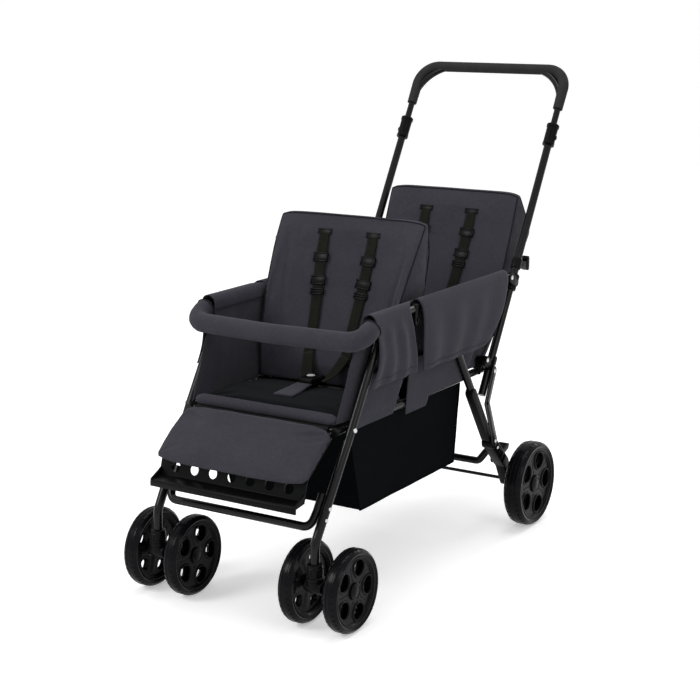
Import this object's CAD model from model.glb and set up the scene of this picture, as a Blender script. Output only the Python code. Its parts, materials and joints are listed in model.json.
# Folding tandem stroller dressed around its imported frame, in metres
import json
from math import acos, cos, pi, radians, sin, tan

import bmesh
import bpy
from mathutils import Matrix, Quaternion, Vector, kdtree, noise
from mathutils.bvhtree import BVHTree

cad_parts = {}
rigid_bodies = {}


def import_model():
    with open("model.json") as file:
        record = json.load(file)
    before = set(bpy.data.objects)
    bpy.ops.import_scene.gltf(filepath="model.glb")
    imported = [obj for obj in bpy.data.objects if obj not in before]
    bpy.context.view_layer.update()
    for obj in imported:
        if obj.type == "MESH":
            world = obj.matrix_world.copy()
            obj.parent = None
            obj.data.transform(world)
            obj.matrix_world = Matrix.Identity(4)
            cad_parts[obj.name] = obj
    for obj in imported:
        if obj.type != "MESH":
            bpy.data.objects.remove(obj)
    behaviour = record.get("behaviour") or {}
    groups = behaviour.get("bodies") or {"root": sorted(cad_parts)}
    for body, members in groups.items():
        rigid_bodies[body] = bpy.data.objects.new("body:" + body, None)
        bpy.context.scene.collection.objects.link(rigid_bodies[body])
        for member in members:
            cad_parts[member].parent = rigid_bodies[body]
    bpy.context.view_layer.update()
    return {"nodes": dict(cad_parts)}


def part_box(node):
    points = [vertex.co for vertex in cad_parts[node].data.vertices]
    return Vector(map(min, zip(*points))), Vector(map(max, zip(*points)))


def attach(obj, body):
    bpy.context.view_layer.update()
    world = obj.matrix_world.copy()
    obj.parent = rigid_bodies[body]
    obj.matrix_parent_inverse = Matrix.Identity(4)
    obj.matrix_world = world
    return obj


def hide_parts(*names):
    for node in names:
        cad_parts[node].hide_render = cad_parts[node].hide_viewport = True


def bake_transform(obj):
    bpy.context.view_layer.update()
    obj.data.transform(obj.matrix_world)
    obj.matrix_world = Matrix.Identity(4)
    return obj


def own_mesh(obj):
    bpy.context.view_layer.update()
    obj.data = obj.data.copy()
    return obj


for leftover in list(bpy.data.objects):
    bpy.data.objects.remove(leftover)
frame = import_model()
scene = bpy.context.scene
scene.view_settings.view_transform = "Standard"
wheelLow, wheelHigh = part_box("front_wheel_left_outer")
axleY = (wheelLow.y + wheelHigh.y) / 2      # the front axle: every y below is counted from it
sides = {"left": 1, "right": -1}
print("frame:", len(frame["nodes"]), "nodes")


def at(x, y, z):
    return Vector((x, y + axleY, z))


# Materials

def linear(code):
    channels = [int(code[i:i + 2], 16) / 255 for i in (1, 3, 5)]
    return [c / 12.92 if c <= 0.04045 else ((c + 0.055) / 1.055) ** 2.4 for c in channels] + [1.0]


def perMetre(millimetres):
    return 1000 / millimetres


def bandScale(millimetres):
    return 2 * pi / 20 * 1000 / millimetres      # a wave texture has 20 radians to the unit


def addNode(material, kind, settings=None, values=None, links=None):
    node = material.node_tree.nodes.new(kind)
    for name, value in (settings or {}).items():
        setattr(node, name, value)
    for socket, value in (values or {}).items():
        node.inputs[socket].default_value = value
    for socket, source in (links or {}).items():
        material.node_tree.links.new(source, node.inputs[socket])
    return node


def newMaterial(name):
    material = bpy.data.materials.new(name)
    material.use_nodes = True
    material.node_tree.nodes.clear()
    return material


def finishMaterial(material, values, links):
    shader = addNode(material, "ShaderNodeBsdfPrincipled", values=values, links=links)
    addNode(material, "ShaderNodeOutputMaterial", links={"Surface": shader.outputs["BSDF"]})
    return material


def objectPlace(material):
    return addNode(material, "ShaderNodeTexCoord").outputs["Object"]


def noiseNode(material, size, detail, place, extra=None):
    values = {"Scale": perMetre(size), "Detail": detail, **(extra or {})}
    return addNode(material, "ShaderNodeTexNoise", values=values, links={"Vector": place}).outputs[0]


def glossNode(material, source, low, high):
    limits = {"From Min": 0.3, "From Max": 0.7, "To Min": low, "To Max": high}
    return addNode(material, "ShaderNodeMapRange", values=limits, links={"Value": source}).outputs[0]


def bumpNode(material, source, strength, distance):
    values = {"Strength": strength, "Distance": distance}
    return addNode(material, "ShaderNodeBump", values=values, links={"Height": source}).outputs[0]


def mathNode(material, operation, links, values=None):
    return addNode(material, "ShaderNodeMath", {"operation": operation}, values, links).outputs[0]


def mixNode(material, first, second, share):
    colours = {6: linear(first), 7: linear(second)}
    return addNode(material, "ShaderNodeMix", {"data_type": "RGBA"}, colours, {0: share}).outputs[2]


def powderCoat(name, colour, low, high):
    # powder-coated steel: black gloss with a faint orange peel and handling marks in the highlights
    material = newMaterial(name)
    place = objectPlace(material)
    peel = noiseNode(material, 3.0, 2.0, place)             # peel is 1 mm, drawn at 3 mm to show
    rub = noiseNode(material, 45, 5.0, place)
    return finishMaterial(material, {"Base Color": linear(colour), "IOR": 1.5, "Specular IOR Level": 0.18},
                          {"Roughness": glossNode(material, rub, low, high),
                           "Normal": bumpNode(material, peel, 0.10, 0.0002)})


def mouldedPlastic(name, colour, low, high, grain=1.6, depth=0.00025):
    # moulded nylon or polypropylene: satin, with the spark-eroded grain of its mould
    material = newMaterial(name)
    place = objectPlace(material)
    grit = noiseNode(material, grain, 3.0, place)           # grain is 0.3 mm, drawn coarser to show
    flow = noiseNode(material, 30, 4.0, place)
    return finishMaterial(material, {"Base Color": linear(colour), "IOR": 1.5, "Specular IOR Level": 0.07},
                          {"Roughness": glossNode(material, flow, low, high),
                           "Normal": bumpNode(material, grit, 0.22, depth)})


def cellFoam(name, dark, pale):
    # skinned EVA foam: matt, with small closed cells that break up the light
    material = newMaterial(name)
    place = objectPlace(material)
    cells = addNode(material, "ShaderNodeTexVoronoi", values={"Scale": perMetre(1.8)},
                    links={"Vector": place}).outputs[0]     # cells are 0.6 mm, drawn at 1.8 mm
    worn = noiseNode(material, 25, 4.0, place)
    return finishMaterial(material, {"Roughness": 0.88, "Specular IOR Level": 0.08},
                          {"Base Color": mixNode(material, dark, pale, worn),
                           "Normal": bumpNode(material, cells, 0.35, 0.0005)})


def wovenCloth(name, dark, pale, thread, sheen, depth=0.0004):
    # woven polyester: matt yarns over and under each other, melange dyed, with a soft sheen at the edges
    material = newMaterial(name)
    flat = addNode(material, "ShaderNodeUVMap", settings={"uv_map": "cloth"}).outputs["UV"]
    place = objectPlace(material)
    warp, weft = (addNode(material, "ShaderNodeTexWave", settings={"bands_direction": way},
                          values={"Scale": bandScale(thread), "Distortion": 0.8, "Detail": 1.0},
                          links={"Vector": flat}).outputs[1]
                  for way in "XY")                          # yarns are 0.5 mm, drawn coarser to show
    weave = mathNode(material, "MAXIMUM", {0: warp, 1: weft})
    melange = noiseNode(material, 7, 6.0, place, {"Roughness": 0.7})
    cloud = noiseNode(material, 60, 2.0, place)
    tone = mathNode(material, "MULTIPLY_ADD", {0: weave, 2: melange}, {1: 0.45})
    tint = mathNode(material, "MULTIPLY_ADD", {0: cloud, 2: tone}, {1: 0.5})
    share = addNode(material, "ShaderNodeMapRange", values={"From Min": 0.6, "From Max": 1.5},
                    links={"Value": tint}).outputs[0]
    return finishMaterial(material, {"Roughness": 0.9, "Specular IOR Level": 0.03, "Sheen Weight": sheen,
                                     "Sheen Roughness": 0.45},
                          {"Base Color": mixNode(material, dark, pale, share),
                           "Normal": bumpNode(material, weave, 0.35, depth)})


def brightMetal(name, colour, roughness):
    # zinc-plated steel: bright, with fine turning lines
    material = newMaterial(name)
    lines = noiseNode(material, 1.5, 3.0, objectPlace(material))
    gloss = addNode(material, "ShaderNodeMapRange",
                    values={"To Min": roughness - 0.08, "To Max": roughness + 0.08}, links={"Value": lines})
    return finishMaterial(material, {"Base Color": linear(colour), "Metallic": 1.0},
                          {"Roughness": gloss.outputs[0]})


tubePaint = powderCoat("powderCoatedSteel", "#0b0b0c", 0.20, 0.30)
nylon = mouldedPlastic("mouldedNylon", "#09090a", 0.28, 0.40)
rimPlastic = mouldedPlastic("mouldedPolypropylene", "#08080a", 0.24, 0.36)
tyreRubber = mouldedPlastic("tyrePolyurethane", "#0d0d10", 0.16, 0.24, grain=4.0, depth=0.0002)
acetal = mouldedPlastic("mouldedAcetal", "#09090a", 0.24, 0.34)
buttonPlastic = mouldedPlastic("mouldedAbsGrey", "#b4b6b5", 0.35, 0.45)
gripFoam = cellFoam("evaFoam", "#262626", "#333333")
seatCloth = wovenCloth("wovenPolyesterCharcoal", "#313037", "#3f3e45", 1.8, 0.08)
innerCloth = wovenCloth("wovenPolyesterBlack", "#0b0e10", "#121517", 1.8, 0.03)
basketCloth = wovenCloth("ripstopPolyesterBlack", "#040506", "#090c0e", 3.0, 0.0)
strapCloth = wovenCloth("polypropyleneWebbing", "#131310", "#22221e", 2.6, 0.06, depth=0.0006)
pipingCloth = wovenCloth("bindingTape", "#18171b", "#232227", 1.5, 0.08)
threadCloth = wovenCloth("polyesterThread", "#1f1e23", "#2b2a30", 0.8, 0.1)
zinc = brightMetal("zincPlatedSteel", "#c9c9cb", 0.3)
darkSteel = brightMetal("blackenedSteel", "#2b2b2e", 0.34)
print("materials:", len(bpy.data.materials))


# Making pieces

def newPiece(name, bm, material, body, replaced=(), sharp=38):
    bm.normal_update()
    mesh = bpy.data.meshes.new(name)
    bm.to_mesh(mesh)
    bm.free()
    mesh.shade_smooth()
    mesh.set_sharp_from_angle(angle=radians(sharp))
    mesh.materials.append(material)
    piece = bpy.data.objects.new(name, mesh)
    scene.collection.objects.link(piece)
    if body:
        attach(piece, body)
    if replaced:
        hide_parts(*replaced)
    return piece


def gather(*parts):
    whole = bmesh.new()
    for part in parts:
        mesh = bpy.data.meshes.new("part")
        part.to_mesh(mesh)
        part.free()
        whole.from_mesh(mesh)
        bpy.data.meshes.remove(mesh)
    return whole


def moved(bm, matrix):
    bmesh.ops.transform(bm, matrix=matrix, verts=bm.verts[:])
    return bm


def madeOf(kind, geom):
    # the fresh verts or edges among what an operator returns
    return [part for part in geom if isinstance(part, kind)]


def pulledOut(bm, edges):
    # extrudes an open rim: its fresh verts and edges
    made = bmesh.ops.extrude_edge_only(bm, edges=edges)["geom"]
    fresh = madeOf(bmesh.types.BMVert, made)
    known = set(fresh)
    return fresh, [edge for edge in madeOf(bmesh.types.BMEdge, made) if known.issuperset(edge.verts)]


def bendPath(points, radius, steps=10):
    path = [points[0]]
    for before, corner, after in zip(points, points[1:], points[2:]):
        a = (corner - before).normalized()
        b = (after - corner).normalized()
        turn = acos(max(-1.0, min(1.0, a.dot(b))))
        if turn < 1e-3:
            path.append(corner)
            continue
        shortest = min((corner - before).length, (after - corner).length)
        reach = min(radius * tan(turn / 2), 0.49 * shortest)
        axis = a.cross(b).normalized()
        spoke = axis.cross(a).normalized() * (reach / tan(turn / 2))
        for i in range(steps + 1):
            path.append(corner - a * reach + spoke - Quaternion(axis, turn * i / steps) @ spoke)
    path.append(points[-1])
    return path


def pathFrames(path, sizes=None):
    # a place along the path for each point, carried on without twist
    frames = []
    across = None
    for i, point in enumerate(path):
        line = (path[min(i + 1, len(path) - 1)] - path[max(0, i - 1)]).normalized()
        across = across or line.orthogonal()
        across = (across - line * across.dot(line)).normalized()
        turn = Matrix((across, line.cross(across), line)).transposed().to_4x4()
        frames.append(Matrix.Translation(point) @ turn @ Matrix.Scale(sizes[i] if sizes else 1, 4))
    return frames


def sweep(path, radius, segments=28, sizes=None):
    bm = bmesh.new()
    frames = pathFrames(path, sizes)
    bmesh.ops.create_circle(bm, cap_ends=False, segments=segments, radius=radius, matrix=frames[0])
    edges = bm.edges[:]
    for before, after in zip(frames, frames[1:]):
        fresh, edges = pulledOut(bm, edges)
        bmesh.ops.transform(bm, matrix=after @ before.inverted(), verts=fresh)
    bmesh.ops.holes_fill(bm, edges=[edge for edge in bm.edges if edge.is_boundary], sides=0)
    bmesh.ops.recalc_face_normals(bm, faces=bm.faces[:])
    return bm


def turned(profile, steps=48, ease=0.0, closed=False):
    # (radius, height) points spun round z, their corners eased
    line = [Vector((r, 0, z)) for r, z in profile]
    if ease:
        line = bendPath(line, ease, 3)
    bm = bmesh.new()
    verts = [bm.verts.new(p) for p in line]
    pairs = list(zip(verts, verts[1:])) + ([(verts[-1], verts[0])] if closed else [])
    edges = [bm.edges.new(pair) for pair in pairs]
    bmesh.ops.spin(bm, geom=verts + edges, cent=(0, 0, 0), axis=(0, 0, 1), dvec=(0, 0, 0), angle=2 * pi,
                   steps=steps, use_merge=True, use_normal_flip=False, use_duplicate=False)
    bmesh.ops.remove_doubles(bm, verts=bm.verts[:], dist=1e-6)
    bmesh.ops.recalc_face_normals(bm, faces=bm.faces[:])
    return bm


def easeRims(bm, width, segments=2, least=40):
    rims = [edge for edge in bm.edges if edge.calc_face_angle(0) > radians(least)]
    bmesh.ops.bevel(bm, geom=rims, offset=width, offset_type="OFFSET", segments=segments, profile=0.5,
                    affect="EDGES", material=-1, clamp_overlap=True)
    return bm


def lug(circles, x0, x1, ease=0.0014, segments=36):
    # plate across x with round ends, hulled from circles (y, z, radius)
    bm = bmesh.new()
    for y, z, radius in circles:
        for x in (x0, x1):
            place = Matrix.Translation(at(x, y, z)) @ Matrix.Rotation(radians(90), 4, "Y")
            bmesh.ops.create_circle(bm, cap_ends=False, segments=segments, radius=radius, matrix=place)
    bmesh.ops.convex_hull(bm, input=bm.verts[:], use_existing_faces=False)
    bmesh.ops.delete(bm, geom=[edge for edge in bm.edges if not edge.link_faces], context="EDGES")
    bmesh.ops.delete(bm, geom=[vert for vert in bm.verts if not vert.link_faces], context="VERTS")
    bmesh.ops.dissolve_limit(bm, angle_limit=radians(1), use_dissolve_boundaries=False,
                             verts=bm.verts[:], edges=bm.edges[:], delimit=set())
    bmesh.ops.recalc_face_normals(bm, faces=bm.faces[:])
    return easeRims(bm, ease)


def along(direction, start):
    # turns z to the direction and moves the origin to the start
    turn = Vector((0, 0, 1)).rotation_difference(direction).to_matrix().to_4x4()
    return Matrix.Translation(start) @ turn


def rivet(place, direction, radius=0.0042, height=0.0022):
    head = [(0, height), (radius * 0.5, height * 0.92), (radius * 0.85, height * 0.55), (radius, 0.0004),
            (radius, -0.001), (0, -0.001)]
    return moved(turned(head, 20), along(Vector(direction), place))


def applied(piece):
    # bakes the modifiers into the mesh
    graph = bpy.context.evaluated_depsgraph_get()
    mesh = bpy.data.meshes.new_from_object(piece.evaluated_get(graph))
    old = piece.data
    piece.modifiers.clear()
    piece.data = mesh
    bpy.data.meshes.remove(old)
    return piece


def layCloth(piece, flat):
    # UV map in metres, so that the weave has its real size
    layer = piece.data.uv_layers.get("cloth") or piece.data.uv_layers.new(name="cloth")
    spots = [flat(vert.co) for vert in piece.data.vertices]
    for loop in piece.data.loops:
        layer.data[loop.index].uv = spots[loop.vertex_index]
    return piece


def seamUv(p):
    return p.x + p.y, p.z + p.y


def smoothStep(low, high, value):
    t = max(0.0, min(1.0, (value - low) / (high - low)))
    return t * t * (3 - 2 * t)


def spread(rows, t):
    # a point of a list of number rows, t from 0 to 1, on a smooth curve through them
    spot = min(t * (len(rows) - 1), len(rows) - 1.000001)
    i = int(spot)
    k = spot - i
    a, b, c, d = (rows[max(0, min(len(rows) - 1, j))] for j in (i - 1, i, i + 1, i + 2))
    return [0.5 * (2 * q + (r - p) * k + (2 * p - 5 * q + 4 * r - s) * k * k
                   + (3 * q - p - 3 * r + s) * k ** 3) for p, q, r, s in zip(a, b, c, d)]


# Frame tubes

tubes = {"frameX": 0.199, "leg": 0.019, "push": 0.018, "arm": 0.018, "rear": 0.018, "seat": 0.017,
         "cross": 0.017, "handle": 0.015, "rod": 0.005, "seatRod": 0.006, "axle": 0.008}
links = {"seatZ": 0.386, "seatY": 0.077, "legLean": 31.8, "armZ": 0.588, "underArm": 0.562,
         "pushLean": 30.7, "sleeve": (0.973, 0.896), "rearTop": 0.4495, "rearLean": 33.8,
         "rearLength": 0.432, "stemY": -0.048, "casterX": 0.1935, "armPivot": 0.7561,
         "fold": (0.647, 0.412), "legFoot": 0.1352, "seatEnds": (0.046, 0.702), "pushEnds": (-0.654, 0.004),
         "rearAxle": (0.778, 0.099), "rearWheelX": 0.2585, "rearCross": (0.717, 0.180), "frontAxleZ": 0.085}
frameX = tubes["frameX"]
seatTubeX = frameX - tubes["leg"] / 2 - 0.0003 - tubes["seat"] / 2
pushLine = Vector((0, sin(radians(links["pushLean"])), cos(radians(links["pushLean"]))))
rearLine = Vector((0, sin(radians(links["rearLean"])), -cos(radians(links["rearLean"]))))


def onPush(x, distance):
    return at(x, *links["sleeve"]) + pushLine * distance


def onRear(x, distance):
    return at(x, links["rearTop"], links["underArm"]) + rearLine * distance


def onLeg(x, z):
    return at(x, links["seatY"] + (z - links["seatZ"]) * tan(radians(links["legLean"])), z)


def addTube(name, path, diameter, body, node, material=tubePaint, segments=28):
    return newPiece(name, sweep(path, diameter / 2, segments), material, body, (node,))


def mirrorPath(half):
    return half + [Vector((-p.x, p.y, p.z)) for p in half[::-1]]


for side, sign in sides.items():
    bendZ = links["seatZ"] - (links["seatY"] - links["stemY"]) / tan(radians(links["legLean"]))
    casterX = sign * links["casterX"]
    legPath = [onLeg(sign * frameX, links["underArm"] + 0.006), onLeg(sign * frameX, links["seatZ"]),
               at(casterX, links["stemY"], bendZ), at(casterX, links["stemY"], links["legFoot"])]
    addTube("frontLeg." + side, bendPath(legPath, 0.05, 12), tubes["leg"], "front_frame",
            "front_leg_" + side)
    addTube("seatTube." + side, [at(sign * seatTubeX, y, links["seatZ"]) for y in links["seatEnds"]],
            tubes["seat"], "seat_frame", "seat_tube_" + side)
    addTube("pushTube." + side, [onPush(sign * frameX, d) for d in links["pushEnds"]], tubes["push"],
            "push_frame", "push_tube_" + side)
    addTube("rearLeg." + side, [onRear(sign * frameX, -0.007), onRear(sign * frameX, links["rearLength"])],
            tubes["rear"], "rear_frame", "rear_leg_" + side)

legSlope = (frameX - links["casterX"]) / (links["seatZ"] - bendZ)
crossHalf = []
for z in (0.270, 0.240):
    outward = frameX - legSlope * (links["seatZ"] - z) - tubes["leg"] / 2 - 0.0006 - tubes["cross"] / 2
    crossHalf.append(onLeg(outward, z))
crossHalf.append(at(crossHalf[1].x - 0.004, -0.033, 0.211))
addTube("frontCrossTube", bendPath(mirrorPath(crossHalf), 0.022, 10), tubes["cross"], "front_frame",
        "front_cross_tube")
rearEnd = frameX - 0.0128
rearHalf = [at(rearEnd, *links["rearCross"]), at(rearEnd - 0.010, *links["rearCross"]),
            at(rearEnd - 0.028, 0.710, 0.154)]
addTube("rearCrossTube", bendPath(mirrorPath(rearHalf), 0.014, 8), tubes["cross"], "rear_frame",
        "rear_cross_tube")
reach = seatTubeX - tubes["seat"] / 2 - 0.0003
for name, node, y in (("seatFrontRod", "seat_front_rod", 0.056),
                      ("seatRearRod", "seat_rear_rod", links["fold"][0] - 0.030)):
    addTube(name, [at(s * reach, y, links["seatZ"]) for s in (-1, 1)], 2 * tubes["seatRod"], "seat_frame",
            node)
hinge = {"front": 0.296, "rear": 0.694, "z": 0.3998}
for place in ("front", "rear"):
    addTube(place + "HingeRod", [at(s * seatTubeX, hinge[place], hinge["z"]) for s in (-1, 1)],
            2 * tubes["rod"], "seat_frame", place + "_hinge_rod", segments=20)

armHalf = [at(frameX, links["armPivot"] + 0.005, links["armZ"]), at(frameX, 0.165, links["armZ"]),
           at(0.209, 0.100, 0.557), at(0, 0.093, 0.555)]
armPath = bendPath(armHalf + [Vector((-p.x, p.y, p.z)) for p in armHalf[-2::-1]], 0.045, 12)
addTube("armrestTube", armPath, tubes["arm"], "armrest", "armrest_tube")
axleReach = links["rearWheelX"] + 0.022 - 0.0043
addTube("rearAxle", [at(s * axleReach, *links["rearAxle"]) for s in (-1, 1)], tubes["axle"], "rear_frame",
        "rear_axle", darkSteel, 20)

handle = {"rise": 0.1715, "insert": 0.170, "corner": 0.098, "gripStart": 0.0686, "grip": 0.025}


def handlePath(start):
    leg = onPush(frameX, start)
    corner = onPush(frameX, handle["rise"])
    return bendPath(mirrorPath([leg, corner]), handle["corner"], 18)


addTube("handleTube", handlePath(-handle["insert"]), tubes["handle"], "handle", "handle_tube")
gripPath = handlePath(handle["gripStart"])
gripSizes = [0.93] + [1.0] * (len(gripPath) - 2) + [0.93]
grip = newPiece("handleGrip", sweep(gripPath, handle["grip"] / 2, 36, gripSizes), gripFoam, "handle",
                ("handle_grip",))
print("tubes done")


# Plastic and steel fittings

fittings = {"sleeve": 0.0135, "sleeveHalf": 0.027, "clamp": 0.0135, "clampLength": 0.038, "clevis": 0.0135,
            "lug": 0.0091, "eye": 0.0125, "pin": 0.0115, "bracket": 0.0125}


def pushDistance(y, z):
    return (at(0, y, z) - at(0, *links["sleeve"])).dot(pushLine)


def collar(radius, bore, half, x, distance, ring=0.0):
    # sleeve round the push tube, with a raised ring at its top where one is asked for
    profile = [(bore, -half), (radius, -half), (radius, half - 0.009)]
    if ring:
        profile += [(radius + ring, half - 0.008), (radius + ring, half - 0.0015)]
    profile += [(radius, half), (bore, half)]
    return moved(turned(profile, 40, 0.0008, closed=True), along(pushLine, onPush(x, distance)))


def hexBolt(place, direction, radius, height):
    bm = bmesh.new()
    bmesh.ops.create_cone(bm, cap_ends=True, segments=6, radius1=radius, radius2=radius, depth=height)
    easeRims(bm, 0.0005, 2, 20)
    return moved(bm, along(Vector(direction), place))


for side, sign in sides.items():
    x = sign * frameX
    out = Vector((sign, 0, 0))
    sleeve = gather(collar(fittings["sleeve"], 0.0078, fittings["sleeveHalf"], x, 0, 0.0015),
                    collar(fittings["sleeve"] + 0.0006, 0.0078, 0.003, x, -0.022))
    newPiece("handleSleeve." + side, sleeve, nylon, "push_frame",
             ("handle_sleeve_" + side,))
    stud = [(0, 0.0035), (0.003, 0.0033), (0.0052, 0.0022), (0.006, 0.0008), (0.006, -0.0015), (0, -0.0015)]
    newPiece("handleButton." + side,
             moved(turned(stud, 28), along(out, onPush(x + sign * (fittings["sleeve"] - 0.0004), -0.006))),
             acetal, "handle_release_" + side, ("handle_button_" + side,))

    armDistance = pushDistance(links["armPivot"], links["armZ"])
    foot = at(0, *links["sleeve"]) + pushLine * armDistance
    footY, footZ = foot.y - axleY, foot.z
    cheeks = [lug([(footY, footZ, 0.010), (links["armPivot"], links["armZ"], fittings["eye"])],
                  x + s * 0.0093, x + s * fittings["clevis"]) for s in (1, -1)]
    armBracket = gather(collar(fittings["clamp"], 0.0092, fittings["clampLength"] / 2, x, armDistance),
                        collar(fittings["clamp"] + 0.0012, 0.0092, 0.004, x, armDistance + 0.013), *cheeks)
    newPiece("armBracket." + side, armBracket, nylon, "push_frame",
             ("arm_bracket_" + side,))

    foldY, foldZ = links["fold"]
    foldDistance = pushDistance(foldY, foldZ)
    foot = at(0, *links["sleeve"]) + pushLine * foldDistance
    footY, footZ = foot.y - axleY, foot.z
    inner = x - sign * (fittings["lug"] - 0.0002)
    foldBracket = gather(lug([(footY, footZ, 0.0105), (foldY, foldZ, fittings["eye"])], inner,
                             x + sign * fittings["lug"]),
                         lug([(footY - 0.011, footZ - 0.018, 0.006), (footY + 0.009, footZ + 0.016, 0.006)],
                             x + sign * 0.0088, x + sign * 0.0128),
                         lug([(foldY - 0.004, foldZ + 0.004, 0.0085)], x + sign * 0.0085,
                             x + sign * 0.0118))
    newPiece("foldBracket." + side, foldBracket, nylon, "push_frame",
             ("fold_bracket_" + side,))
    newPiece("foldHanger." + side,
             lug([(foldY, links["seatZ"], 0.0071), (foldY, foldZ, fittings["pin"])],
                 sign * (frameX - fittings["lug"] - 0.0003 - 0.006),
                 sign * (frameX - fittings["lug"] - 0.0003)),
             nylon, "seat_frame")
    pushRivets = gather(rivet(at(x + sign * fittings["clevis"], links["armPivot"], links["armZ"]), out,
                              0.005),
                        rivet(at(x + sign * (fittings["clevis"] - 0.0002), footY, footZ), out, 0.003),
                        rivet(at(x + sign * 0.0118, foldY - 0.004, foldZ + 0.004), out, 0.0048))
    newPiece("pushRivets." + side, pushRivets, zinc, "push_frame")

    saddleY = links["seatY"] + (links["underArm"] - links["seatZ"]) * tan(radians(links["legLean"]))
    for place, y, tube in (("frontSaddle", saddleY,
                            tubes["leg"]), ("rearSaddle", links["rearTop"], tubes["rear"])):
        gap = tube / 2 + 0.0003
        walls = [lug([(y, links["armZ"] - 0.010, fittings["eye"]), (y, links["underArm"], fittings["pin"])],
                     x + s * gap, x + s * fittings["clevis"], 0.0008) for s in (1, -1)]
        crown = lug([(y, links["armZ"], fittings["eye"])], x - gap - 0.001, x + gap + 0.001)
        newPiece(place + "." + side, gather(crown, *walls), nylon, "armrest")
    knuckle = gather(lug([(0.326, links["armZ"], 0.0115), (0.326, 0.5654, 0.0125)], x - 0.0095, x + 0.0095),
                     hexBolt(at(x + sign * 0.0102, 0.326, 0.5654), out, 0.0055, 0.003))
    newPiece("armrestKnuckle." + side, knuckle, nylon, "armrest")
print("push frame fittings done")


latch = {"top": (0.669, 0.386), "knee": (0.637, 0.318), "pivot": (0.6798, 0.218), "radius": 0.0115,
         "thick": 0.003}
leanSin, leanCos = sin(radians(links["rearLean"])), cos(radians(links["rearLean"]))
rearEndSpot = (links["rearTop"] + links["rearLength"] * leanSin,
               links["underArm"] - links["rearLength"] * leanCos)
rearSocket = (rearEndSpot[0] - 0.012 * leanSin, rearEndSpot[1] + 0.012 * leanCos)
rearKnee = (0.750, 0.148)
channel = {"reach": (0.250, 0.395), "ahead": 0.005, "radius": 0.0105, "inner": 0.0086, "outer": 0.0108}
for side, sign in sides.items():
    x = sign * frameX
    out = Vector((sign, 0, 0))
    near = fittings["bracket"]
    middle = ((rearSocket[0] + rearKnee[0]) / 2, (rearSocket[1] + rearKnee[1]) / 2)
    bracket = gather(lug([(*rearSocket, 0.0135), (*rearKnee, 0.0135)], x - near, x + near, 0.002),
                     lug([(*rearKnee, 0.0135), (*links["rearAxle"], 0.0141)], x - near + 0.0006,
                         x + near - 0.0006, 0.002),
                     lug([(*links["rearCross"], 0.0115), (*middle, 0.011)], x - near - 0.0001,
                         x + near + 0.0001, 0.0015),
                     lug([(*rearSocket, 0.0152)], x - near - 0.0006, x + near + 0.0006, 0.001),
                     moved(turned([(0.0042, 0), (0.0125, 0), (0.011, 0.0205), (0.0042, 0.0205)], 32, 0.0008,
                                  True),
                           along(out, at(x + sign * (near - 0.004), *links["rearAxle"]))))
    for k in range(4):      # stiffening ribs across the bracket's outer face
        share = 0.2 + 0.2 * k
        ribY = rearSocket[0] + (rearKnee[0] - rearSocket[0]) * share
        ribZ = rearSocket[1] + (rearKnee[1] - rearSocket[1]) * share
        bracket = gather(bracket, lug([(ribY - 0.006, ribZ - 0.007, 0.0012),
                                       (ribY + 0.006, ribZ + 0.007, 0.0012)],
                                      x + sign * near, x + sign * (near + 0.0011), 0.0003, 12))
    newPiece("rearBracket." + side, bracket, nylon, "rear_frame",
             ("rear_bracket_" + side,))
    spots = ((rearSocket[0] + 0.004, rearSocket[1] - 0.004), (rearSocket[0] + 0.018, rearSocket[1] - 0.017))
    rivets = [rivet(at(x + sign * (near + 0.0006), y, z), out, 0.0038) for y, z in spots]
    newPiece("rearRivets." + side, gather(*rivets), zinc, "rear_frame")
    forward = Vector((0, rearLine.z, -rearLine.y)) * channel["ahead"]
    channelEnds = [onRear(0, d) + forward for d in channel["reach"]]
    newPiece("rearChannel." + side, lug([(p.y - axleY, p.z, channel["radius"]) for p in channelEnds],
                                        x - sign * channel["inner"], x + sign * channel["outer"]), nylon,
             "rear_frame")

    inner = frameX + fittings["clamp"] + 0.0003
    outer = inner + latch["thick"]
    bars = [lug([(*latch["top"], latch["radius"]), (*latch["knee"], latch["radius"])], sign * inner,
                sign * outer, 0.0009),
            lug([(*latch["knee"], latch["radius"]), (*latch["pivot"], latch["radius"])],
                sign * (inner + 0.0002), sign * (outer - 0.0002), 0.0009)]
    for a, b in ((latch["top"], latch["knee"]), (latch["knee"], latch["pivot"])):
        bars.append(lug([(*a, 0.0045), (*b, 0.0045)], sign * (outer - 0.0004), sign * (outer + 0.0012),
                        0.0006))
    boss = moved(turned([(0, 0), (0.005, 0), (0.005, 0.004), (0, 0.004)], 24),
                 along(out, at(sign * (frameX + near - 0.0003), *latch["pivot"])))
    newPiece("foldLatch." + side, gather(*bars, boss), tubePaint, "latch_" + side,
             ("fold_latch_" + side,))
    pins = [rivet(at(sign * (outer + 0.0008), *latch[end]), out, 0.0045) for end in ("top", "pivot")]
    newPiece("latchPins." + side, gather(*pins), zinc, "latch_" + side)

    outer = frameX - near - 0.0003
    inner = outer - 0.014
    treadle = [lug([(0.752, 0.152, 0.010), (0.808, 0.168, 0.0055)], sign * inner, sign * outer, 0.0012),
               lug([(0.794, 0.168, 0.0045), (0.814, 0.1718, 0.0035)], sign * (inner - 0.012),
                   sign * (outer - 0.001), 0.0012)]
    for k in range(3):
        treadle.append(lug([(0.797 + 0.006 * k, 0.1735 + 0.0008 * k, 0.0009)], sign * (inner - 0.010),
                           sign * (outer - 0.003), 0.0003, 10))
    newPiece("brakeLever." + side, gather(*treadle), nylon, "brake_" + side,
             ("brake_lever_" + side,))
print("rear fittings done")


# Casters

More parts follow.
